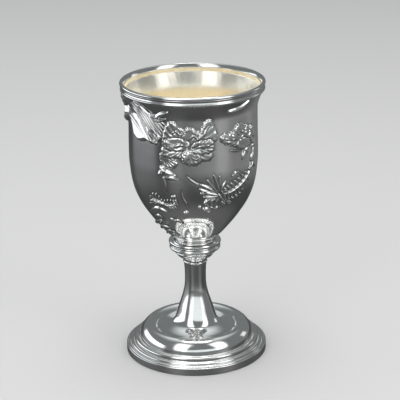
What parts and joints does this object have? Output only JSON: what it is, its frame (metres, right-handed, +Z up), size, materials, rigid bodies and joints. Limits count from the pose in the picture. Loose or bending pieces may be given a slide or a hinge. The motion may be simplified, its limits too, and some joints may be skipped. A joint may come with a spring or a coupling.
{
  "type": "presentation cup",
  "caption": "Goblet-shaped silver presentation cup with chased flower sprays, gilt inside, moulded lip, knopped trumpet stem and stepped reeded foot.",
  "frame": {"origin": "middle of the foot's flat underside, on the cup's axis", "axes": "+Z up along the cup's axis, towards the lip; -Y is the front, the side with the large ruffled blossom"},
  "size_m": [0.0724, 0.0724, 0.143],
  "materials": {
    "silver_polished": "polished silver with fine handling scratches",
    "silver_chased": "polished silver, chased flowers satin with darkened grooves",
    "gilt": "pale gold wash, polished",
    "fixing_brass": "turned brass, dull"
  },
  "bodies": {
    "root": {"bowl": "silver_chased", "gilt_lining": "gilt", "rim_moulding": "silver_polished", "bowl_seat": "silver_polished", "knop_upper": "silver_polished", "knop_lower": "silver_polished", "collar_lower": "silver_polished", "stem_capital": "silver_polished", "stem": "silver_polished", "foot_dome": "silver_polished", "foot_reeding": "silver_polished", "foot_rim_wire": "silver_polished", "centre_stud": "fixing_brass", "spreader_washer": "fixing_brass", "stud_nut": "fixing_brass"}
  },
  "joints": []
}
